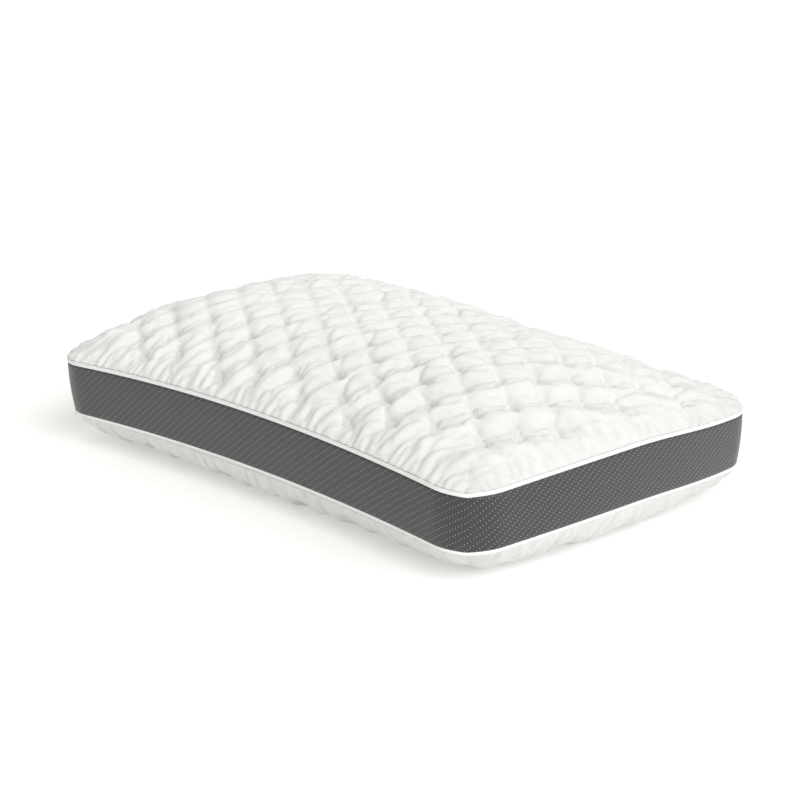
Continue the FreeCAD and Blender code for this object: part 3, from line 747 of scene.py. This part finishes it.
def extruded(outline, y0, y1):
    """Points and faces of a plate whose outline is given in x and z, between two levels of y."""
    count = len(outline)
    points = [(x, y0, z) for x, z in outline] + [(x, y1, z) for x, z in outline]
    faces = [tuple(range(count)), tuple(range(2 * count - 1, count - 1, -1))]
    faces += [(k, k + count, (k + 1) % count + count, (k + 1) % count) for k in range(count)]
    return points, faces


def merged(name, solids):
    points, faces = [], []
    for solid_points, solid_faces in solids:
        faces += [tuple(i + len(points) for i in f) for f in solid_faces]
        points += list(solid_points)
    return new_mesh(name, points, faces, smooth_shading=False)


def rounded_outline(x0, x1, z0, z1, radius, corners=(1, 1, 1, 1)):
    """A rectangle in x and z with rounded corners, anticlockwise from the low x, low z one."""
    outline = []
    centres = [(x0, z0, 1, 1, 180), (x1, z0, -1, 1, 270), (x1, z1, -1, -1, 0), (x0, z1, 1, -1, 90)]
    for (x, z, sx, sz, turn), share in zip(centres, corners):
        r = radius * share
        for step in np.radians(np.linspace(turn, turn + 90, 6)):
            outline.append((x + sx * r + r * math.cos(step), z + sz * r + r * math.sin(step)))
    return outline


def make_slider():
    """Front and back plate, the neck between them, flanges, and the bridge that the pull hangs on."""
    lo, hi = low("zip_slider"), high("zip_slider")
    pin_x = high("zip_pull").x - 0.6 * MM
    front, rear = BACK - 1.7 * MM, lo.y
    half = 4.5 * MM
    plate = rounded_outline(lo.x, hi.x, ZIP_LEVEL - half, ZIP_LEVEL + half, 2.4 * MM, (0.5, 1, 1, 0.5))
    solids = [extruded(plate, front, front + 1.2 * MM)]
    back_plate = rounded_outline(lo.x, hi.x, ZIP_LEVEL - half, ZIP_LEVEL + half, 1.2 * MM)
    solids.append(extruded(back_plate, rear, rear + 1.1 * MM))
    neck = rounded_outline(lo.x, lo.x + 4 * MM, ZIP_LEVEL - 0.3 * MM, ZIP_LEVEL + 0.3 * MM, 0.25 * MM)
    solids.append(extruded(neck, rear + 1.1 * MM, front))
    for side in (-1, 1):
        z = ZIP_LEVEL + side * (half - 0.5 * MM)
        flange = rounded_outline(lo.x, hi.x, z - 0.5 * MM, z + 0.5 * MM, 0.3 * MM)
        solids.append(extruded(flange, rear + 0.6 * MM, rear + 3.1 * MM))
    body = merged("zip_slider_body", solids)
    base = front + 1.2 * MM
    rising = [(2.9 * MM, base - 0.3 * MM), (2.9 * MM, base + 1.0 * MM), (2.3 * MM, base + 1.9 * MM),
              (1.0 * MM, hi.y - 0.45 * MM)]
    centres = [(pin_x - x, y, ZIP_LEVEL) for x, y in rising]
    centres += [(pin_x + x, y, ZIP_LEVEL) for x, y in reversed(rising)]
    bridge = thread_mesh("zip_slider_bridge", [(centres, [0.45 * MM] * len(centres))], 10)
    return bevelled(body, 0.3 * MM), bridge


def make_pull():
    """The tab with its two arms, and the pin between them that turns in the slider's bridge."""
    lo, hi = low("zip_pull"), high("zip_pull")
    pin_x, pin_y = hi.x - 0.55 * MM, (lo.y + hi.y) / 2
    y0, y1 = pin_y - 0.5 * MM, pin_y + 0.5 * MM
    tab = rounded_outline(lo.x, pin_x - 4.4 * MM, lo.z, hi.z, 2.6 * MM, (1, 0.12, 0.12, 1))
    solids = [extruded(tab, y0, y1)]
    for side in (-1, 1):
        z = ZIP_LEVEL + side * (hi.z - ZIP_LEVEL - 0.85 * MM)
        arm = rounded_outline(pin_x - 5 * MM, pin_x + 0.5 * MM, z - 0.8 * MM, z + 0.8 * MM, 0.5 * MM,
                              (0.2, 1, 1, 0.2))
        solids.append(extruded(arm, y0, y1))
    body = merged("zip_pull_tab", solids)
    nudge = 1e-6                                    # the middle point keeps off the vertical
    centres = [(pin_x, pin_y, lo.z + 0.6 * MM), (pin_x + nudge, pin_y, ZIP_LEVEL),
               (pin_x, pin_y, hi.z - 0.6 * MM)]
    pin = thread_mesh("zip_pull_pin", [(centres, [0.5 * MM] * len(centres))], 12)
    return bevelled(body, 0.25 * MM), pin


slider_body, slider_bridge = make_slider()
pull_tab, pull_pin = make_pull()


def make_label():
    """A limp satin label that hangs from the bottom binding, over the panel's puffs."""
    lo, hi = low("care_label"), high("care_label")
    width, drop = hi.x - lo.x, hi.z - lo.z
    near = (np.abs(bottom_face[:, 0] - (lo.x + hi.x) / 2) < width) & (bottom_face[:, 1] > 0)
    columns, rows = 15, 25
    u, v = np.meshgrid(np.linspace(0, 1, columns), np.linspace(0, 1, rows))
    z = hi.z - v * drop
    reach = []
    for level in z[:, 0]:
        at_level = near & (np.abs(bottom_face[:, 2] - level) < 3 * MM)
        out = bottom_face[at_level, 1].max() if at_level.any() else 0
        reach.append(max(out, BACK, *(reach[-1:])))
    y = np.array(reach)[:, None] + 0.5 * MM + 0.8 * MM * v * np.sin(u * math.pi * 1.7) ** 2 + 0.6 * MM * v
    x = lo.x + u * width
    front = np.stack([x, y, z], -1).reshape(-1, 3)
    back = front - (0, 0.35 * MM, 0)
    count = rows * columns
    faces = [tuple(f) for f in grid_faces(rows, columns)]
    faces += [tuple(i + count for i in f[::-1]) for f in grid_faces(rows, columns)]
    rim = grid_rim(rows, columns)
    faces += [(p, p + count, q + count, q) for p, q in zip(rim, np.roll(rim, -1))]
    uv = np.stack([u * width, v * drop], -1).reshape(-1, 2)
    return new_mesh("care_label_satin", np.concatenate([front, back]), faces, np.concatenate([uv, uv]))


label = make_label()


# ---------------------------------------------------------------- materials

class Graph:
    """A material's nodes, with short ways to add them."""

    def __init__(self, name):
        self.material = bpy.data.materials.new(name)
        self.material.use_nodes = True
        self.nodes = self.material.node_tree.nodes
        self.links = self.material.node_tree.links
        self.shader = self.nodes["Principled BSDF"]

    def put(self, socket, value):
        if isinstance(value, bpy.types.NodeSocket):
            self.links.new(value, socket)
        else:
            socket.default_value = value

    def add(self, kind, inputs=(), output=0, **settings):
        node = self.nodes.new(kind)
        for key, value in settings.items():
            setattr(node, key, value)
        for key, value in dict(inputs).items():
            self.put(node.inputs[key], value)
        return node.outputs[output]

    def math(self, operation, first, second=0.0):
        return self.add("ShaderNodeMath", {0: first, 1: second}, operation=operation)

    def place(self, layer=None):
        """Where a point is: on the cloth, or in the object."""
        if layer:
            return self.add("ShaderNodeUVMap", uv_map=layer)
        return self.add("ShaderNodeTexCoord", output="Object")

    def noise(self, where, scale, detail):
        inputs = {"Vector": where, "Scale": scale, "Detail": detail, "Roughness": 0.55}
        return self.add("ShaderNodeTexNoise", inputs)

    def bump(self, height, distance):
        node = self.nodes.new("ShaderNodeBump")
        self.put(node.inputs["Height"], height)
        node.inputs["Distance"].default_value = distance
        node.inputs["Strength"].default_value = 1.0
        return node.outputs["Normal"]

    def finish(self, **inputs):
        for key, value in inputs.items():
            self.put(self.shader.inputs[key.replace("_", " ")], value)
        return self.material


def colour_mix(graph, factor, first, second):
    node = graph.nodes.new("ShaderNodeMix")
    node.data_type = "RGBA"
    graph.put(node.inputs[0], factor)
    graph.put(node.inputs[6], first)
    graph.put(node.inputs[7], second)
    return node.outputs[2]


def shade(graph, value, low_value, high_value, low_colour, high_colour):
    share = graph.add("ShaderNodeMapRange", {"Value": value, "From Min": low_value, "From Max": high_value})
    return colour_mix(graph, share, low_colour, high_colour)


def grey(value, warmth=0.0):
    return (value * (1 + warmth), value, value * (1 - warmth), 1)


def knit_material(name, light, dark, loop):
    """Fine knitted cloth: rows of small loops and a little unevenness."""
    g = Graph(name)
    where = g.place("cloth")
    split = g.nodes.new("ShaderNodeSeparateXYZ")
    g.put(split.inputs[0], where)
    rows = g.math("SINE", g.math("MULTIPLY", split.outputs[0], 2 * math.pi / loop))
    courses = g.math("SINE", g.math("MULTIPLY", split.outputs[1], 2 * math.pi / (loop * 0.7)))
    loops = g.math("MULTIPLY", rows, courses)
    fuzz = g.noise(where, 2600, 2)
    height = g.math("ADD", g.math("MULTIPLY", loops, 0.5), fuzz)
    patches = g.noise(where, 26, 3)
    colour = shade(g, patches, 0.3, 0.7, dark, light)
    return g.finish(Base_Color=colour, Normal=g.bump(height, 0.12 * MM), Roughness=0.92, Sheen_Weight=0.25,
                    Sheen_Roughness=0.4)


def mesh_material(name):
    """Dark spacer mesh with small holes in slanting rows. The holes are painted darker, as painted shade, and
    one side of each hole is painted lighter, as a painted highlight.
    """
    g = Graph(name)
    split = g.nodes.new("ShaderNodeSeparateXYZ")
    where = g.place("cloth")
    g.put(split.inputs[0], where)
    run, rise = split.outputs[0], split.outputs[1]
    step_run, step_rise, row_rise = 2.5 * MM, 1.8 * MM, 6.7 * MM
    number = g.math("ROUND", g.math("DIVIDE", run, step_run))
    aside = g.math("SUBTRACT", run, g.math("MULTIPLY", number, step_run))
    lifted = g.math("SUBTRACT", rise, g.math("MULTIPLY", number, step_rise))
    row = g.math("ROUND", g.math("DIVIDE", lifted, row_rise))
    above = g.math("SUBTRACT", lifted, g.math("MULTIPLY", row, row_rise))
    away = g.math("SQRT", g.math("ADD", g.math("MULTIPLY", aside, aside), g.math("MULTIPLY", above, above)))
    hole = g.add("ShaderNodeMapRange", {"Value": away, "From Min": 0.75 * MM, "From Max": 0.35 * MM})
    # painted highlight: one side of each hole is painted light grey, standing for the hole's wall that faces
    # the key light
    lit_aside = g.math("ADD", aside, 0.55 * MM)
    lit_square = g.math("ADD", g.math("MULTIPLY", lit_aside, lit_aside), g.math("MULTIPLY", above, above))
    lit = g.math("SQRT", lit_square)
    rim = g.add("ShaderNodeMapRange", {"Value": lit, "From Min": 0.5 * MM, "From Max": 0.25 * MM})
    fibres = g.noise(where, 1500, 2)
    ground = shade(g, fibres, 0.3, 0.7, (0.027, 0.03, 0.029, 1), (0.043, 0.047, 0.046, 1))
    # painted shade: the holes are painted darker than the mesh round them
    with_shaded_holes = colour_mix(g, hole, ground, (0.015, 0.016, 0.016, 1))
    # the painted highlight is mixed in over the painted shade of the holes
    with_painted_highlights = colour_mix(g, rim, with_shaded_holes, (0.6, 0.61, 0.59, 1))
    height = g.math("SUBTRACT", g.math("MULTIPLY", fibres, 0.25), hole)
    return g.finish(Base_Color=with_painted_highlights, Normal=g.bump(height, 0.5 * MM), Roughness=0.5, Sheen_Weight=0.15)


def plain_cloth(name, light, dark, scale=900, roughness=0.9, layer=None):
    g = Graph(name)
    where = g.place(layer)
    weave = g.noise(where, scale, 4)
    colour = shade(g, weave, 0.3, 0.7, dark, light)
    return g.finish(Base_Color=colour, Normal=g.bump(weave, 0.2 * MM), Roughness=roughness)


def satin(name):
    g = Graph(name)
    where = g.place("cloth")
    threads = g.add("ShaderNodeTexWave", {"Vector": where, "Scale": 900.0, "Distortion": 1.0}, output=1)
    colour = shade(g, threads, 0, 1, grey(0.78), grey(0.86))
    return g.finish(Base_Color=colour, Normal=g.bump(threads, 0.05 * MM), Roughness=0.35)


def metal(name):
    g = Graph(name)
    worn = g.noise(g.place(), 900, 3)
    colour = shade(g, worn, 0.3, 0.7, (0.30, 0.30, 0.31, 1), (0.42, 0.42, 0.43, 1))
    rough = g.add("ShaderNodeMapRange", {"Value": worn, "To Min": 0.25, "To Max": 0.45})
    return g.finish(Base_Color=colour, Metallic=1.0, Roughness=rough)


def thread_material(name, light, dark):
    """Twisted thread."""
    g = Graph(name)
    twist = g.add("ShaderNodeTexWave", {"Vector": g.place(), "Scale": 700.0, "Distortion": 2.0}, output=1)
    colour = shade(g, twist, 0, 1, dark, light)
    return g.finish(Base_Color=colour, Normal=g.bump(twist, 0.1 * MM), Roughness=0.6)


def foam(name):
    g = Graph(name)
    cells = g.add("ShaderNodeTexVoronoi", {"Vector": g.place(), "Scale": 700.0})
    colour = shade(g, cells, 0, 0.6, grey(0.6, 0.03), grey(0.85, 0.02))
    return g.finish(Base_Color=colour, Normal=g.bump(cells, 0.3 * MM), Roughness=1.0)


quilt_knit = knit_material("quilt_knit", (0.735, 0.735, 0.73, 1), (0.705, 0.705, 0.695, 1), 1.5 * MM)
binding_cloth = plain_cloth("binding", grey(0.88), grey(0.84), 1400, 0.75, "cloth")
spacer_mesh = mesh_material("spacer_mesh")
white_thread = thread_material("white_thread", grey(0.9), grey(0.75))
grey_thread = thread_material("grey_thread", grey(0.16), grey(0.09))
zip_metal = metal("zip_metal")
label_satin = satin("label_satin")

for piece, surface in (
    (top_panel, quilt_knit), (bottom_panel, quilt_knit), (gusset, spacer_mesh), (strip_upper, spacer_mesh),
    (strip_lower, spacer_mesh), (top_binding, binding_cloth), (bottom_binding, binding_cloth),
    (top_stitches, white_thread), (bottom_stitches, white_thread), (top_tacks, white_thread),
    (bottom_tacks, white_thread), (zip_stitches, grey_thread), (label, label_satin),
    (slider_body, zip_metal), (slider_bridge, zip_metal), (pull_tab, zip_metal), (pull_pin, zip_metal),
):
    piece.data.materials.append(surface)

core.data.materials.append(foam("foam"))
liner.data.materials.append(plain_cloth("liner_jersey", grey(0.85), grey(0.78)))
backing_cloth = plain_cloth("backing", grey(0.8, 0.02), grey(0.7, 0.02))
top_backing.data.materials.append(backing_cloth)
bottom_backing.data.materials.append(backing_cloth)
inside_materials = {
    "zip_tape_upper": plain_cloth("zip_tape", grey(0.07), grey(0.045), 1600),
    "zip_coil_upper": plain_cloth("zip_coil", grey(0.1), grey(0.06), 700, 0.4),
    "zip_closed_end_stops": zip_metal,
}
inside_materials["zip_tape_lower"] = inside_materials["zip_tape_upper"]
inside_materials["zip_coil_lower"] = inside_materials["zip_coil_upper"]
inside_materials["zip_open_end_stop"] = zip_metal
for node, surface in inside_materials.items():
    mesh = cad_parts[node].data
    mesh.materials.clear()
    mesh.materials.append(surface)


# ---------------------------------------------------------------- bodies, and the CAD parts each piece hides; the slot names are listed but not used

for piece, body, slot, nodes in (
    (top_panel, "pillow", "quilt_knit", ("top_panel_face", "top_panel_wadding")),
    (bottom_panel, "pillow", "quilt_knit", ("bottom_panel_face", "bottom_panel_wadding")),
    (core, "pillow", "foam", ("foam_core",)),
    (liner, "pillow", "liner_jersey", ("core_liner",)),
    (top_backing, "pillow", "backing", ("top_panel_backing",)),
    (bottom_backing, "pillow", "backing", ("bottom_panel_backing",)),
    (gusset, "pillow", "spacer_mesh", ("gusset_band",)),
    (strip_upper, "pillow", "spacer_mesh", ("zip_strip_upper",)),
    (strip_lower, "pillow", "spacer_mesh", ("zip_strip_lower",)),
    (top_binding, "pillow", "binding", ("top_edge_binding",)),
    (bottom_binding, "pillow", "binding", ("bottom_edge_binding",)),
    (top_stitches, "pillow", "white_thread", ("top_seam_stitching",)),
    (bottom_stitches, "pillow", "white_thread", ("bottom_seam_stitching",)),
    (top_tacks, "pillow", "white_thread", ("top_quilting_tacks",)),
    (bottom_tacks, "pillow", "white_thread", ("bottom_quilting_tacks",)),
    (zip_stitches, "pillow", "grey_thread", ("zip_topstitching",)),
    (label, "pillow", "label_satin", ("care_label",)),
    (slider_body, "slider", "zip_metal", ("zip_slider",)),
    (slider_bridge, "slider", "zip_metal", ()),
    (pull_tab, "pull", "zip_metal", ("zip_pull",)),
    (pull_pin, "pull", "zip_metal", ()),
):
    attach(piece, body)
    if nodes:
        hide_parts(*nodes)


# ---------------------------------------------------------------- floor, light and camera

def aim(obj, at):
    obj.rotation_euler = (Vector(at) - obj.location).to_track_quat("-Z", "Y").to_euler()


def soft_light(name, toward, power, spread):
    """A broad, distant light, so that the floor is lit evenly."""
    data = bpy.data.lights.new(name, "SUN")
    data.energy = power
    data.angle = math.radians(spread)
    lamp = bpy.data.objects.new(name, data)
    lamp.location = Vector(toward)
    bpy.context.scene.collection.objects.link(lamp)
    aim(lamp, (0, 0, 0))


floor = new_mesh("floor", [(-8, -8, 0), (8, -8, 0), (8, 8, 0), (-8, 8, 0)], [(0, 1, 2, 3)])
ground = Graph("floor")
paper = ground.noise(ground.place(), 3, 2)
paper_colour = shade(ground, paper, 0.3, 0.7, (0.73, 0.73, 0.73, 1), (0.75, 0.75, 0.75, 1))
glow = shade(ground, paper, 0.3, 0.7, (1, 0.98, 0.95, 1), (1, 0.99, 0.97, 1))
floor.data.materials.append(
    ground.finish(Base_Color=paper_colour, Roughness=1.0, Emission_Color=glow, Emission_Strength=0.3))

world = bpy.data.worlds.new("studio")
bpy.context.scene.world = world
world.use_nodes = True
world.node_tree.nodes["Background"].inputs["Color"].default_value = (1, 0.975, 0.935, 1)
world.node_tree.nodes["Background"].inputs["Strength"].default_value = 0.5

soft_light("key", (1.0, -0.15, 0.75), 2.2, 50)
soft_light("fill", (-0.8, -0.3, 0.8), 0.3, 80)
soft_light("overhead", (0.1, 0.5, 1.0), 0.5, 110)

CAMERA_AZIMUTH, CAMERA_ELEVATION = math.radians(46.54), math.radians(16.94)
CAMERA_TARGET = Vector((-2.13, 13.99, 62.0)) * MM
CAMERA_DISTANCE = 1.994
camera = bpy.data.objects.new("camera", bpy.data.cameras.new("camera"))
bpy.context.scene.collection.objects.link(camera)
camera.location = CAMERA_TARGET + CAMERA_DISTANCE * Vector((
    math.sin(CAMERA_AZIMUTH) * math.cos(CAMERA_ELEVATION),
    -math.cos(CAMERA_AZIMUTH) * math.cos(CAMERA_ELEVATION),
    math.sin(CAMERA_ELEVATION)))
aim(camera, CAMERA_TARGET)
camera.data.sensor_width = 36
camera.data.lens = 91.8
bpy.context.scene.camera = camera
bpy.context.scene.view_settings.view_transform = "Standard"

bpy.context.view_layer.update()
